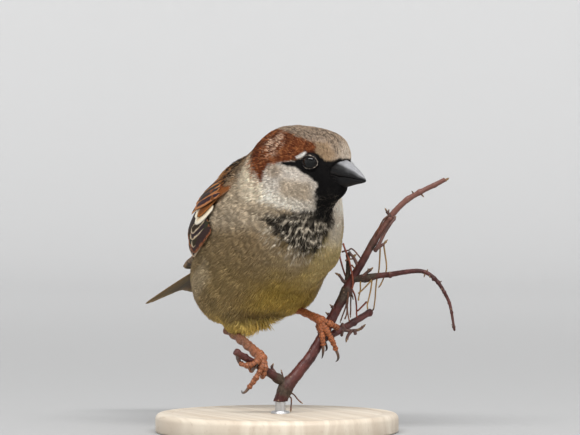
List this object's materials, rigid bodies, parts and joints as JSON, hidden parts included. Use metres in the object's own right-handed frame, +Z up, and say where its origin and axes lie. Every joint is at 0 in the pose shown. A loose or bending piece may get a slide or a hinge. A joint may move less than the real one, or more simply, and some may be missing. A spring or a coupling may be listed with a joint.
{
  "type": "perched bird model",
  "caption": "Life-size still model of a male house sparrow gripping a forked twig, held on a plain round display base.",
  "frame": {"origin": "centre of the display base's underside, on the surface that it stands on", "axes": "+Z up; the bird's breast faces -Y and its tail +Y; its left side is +X; its head is turned 25 degrees to its left"},
  "size_m": [0.0864, 0.1187, 0.0958],
  "materials": {
    "crown_plumage": "soft matt feathers, brown-grey crown with dark flecks, chestnut sides, black lores and chin, whitish cheeks",
    "pale_plumage": "soft matt feathers, pale grey-buff, black bib on the breast, yellowish olive belly",
    "wing_plumage": "matt feathers, chestnut and black with pale edges and a white bar",
    "dark_plumage": "matt flight feathers, dark brown with buff edges",
    "leg_skin": "scaly skin with a low sheen, orange-brown",
    "horn": "smooth horn with a soft sheen, black to slate",
    "eye_gloss": "wet gloss, very dark brown",
    "bark": "thin purple-brown bark with pale pores",
    "stand_wood": "pale turned wood, satin",
    "stand_steel": "brushed"
  },
  "bodies": {
    "root": {"head": "crown_plumage", "neck": "pale_plumage", "trunk": "pale_plumage", "rump": "pale_plumage", "bill_upper": "horn", "bill_lower": "horn", "tail": "dark_plumage", "eye_right": "eye_gloss", "scapulars_right": "wing_plumage", "wing_coverts_right": "wing_plumage", "wing_secondaries_right": "dark_plumage", "wing_primaries_right": "dark_plumage", "eye_left": "eye_gloss", "scapulars_left": "wing_plumage", "wing_coverts_left": "wing_plumage", "wing_secondaries_left": "dark_plumage", "wing_primaries_left": "dark_plumage", "thigh_right": "pale_plumage", "tarsus_right": "leg_skin", "toe_inner_right": "leg_skin", "claw_inner_right": "horn", "toe_middle_right": "leg_skin", "claw_middle_right": "horn", "toe_outer_right": "leg_skin", "claw_outer_right": "horn", "toe_hind_right": "leg_skin", "claw_hind_right": "horn", "thigh_left": "pale_plumage", "tarsus_left": "leg_skin", "toe_inner_left": "leg_skin", "claw_inner_left": "horn", "toe_middle_left": "leg_skin", "claw_middle_left": "horn", "toe_outer_left": "leg_skin", "claw_outer_left": "horn", "toe_hind_left": "leg_skin", "claw_hind_left": "horn", "perch_stem": "bark", "perch_stub_right": "bark", "perch_side_twig": "bark", "perch_stub_low": "bark", "perch_stub_back": "bark", "stand_base": "stand_wood", "stand_rod": "stand_steel"}
  },
  "joints": []
}
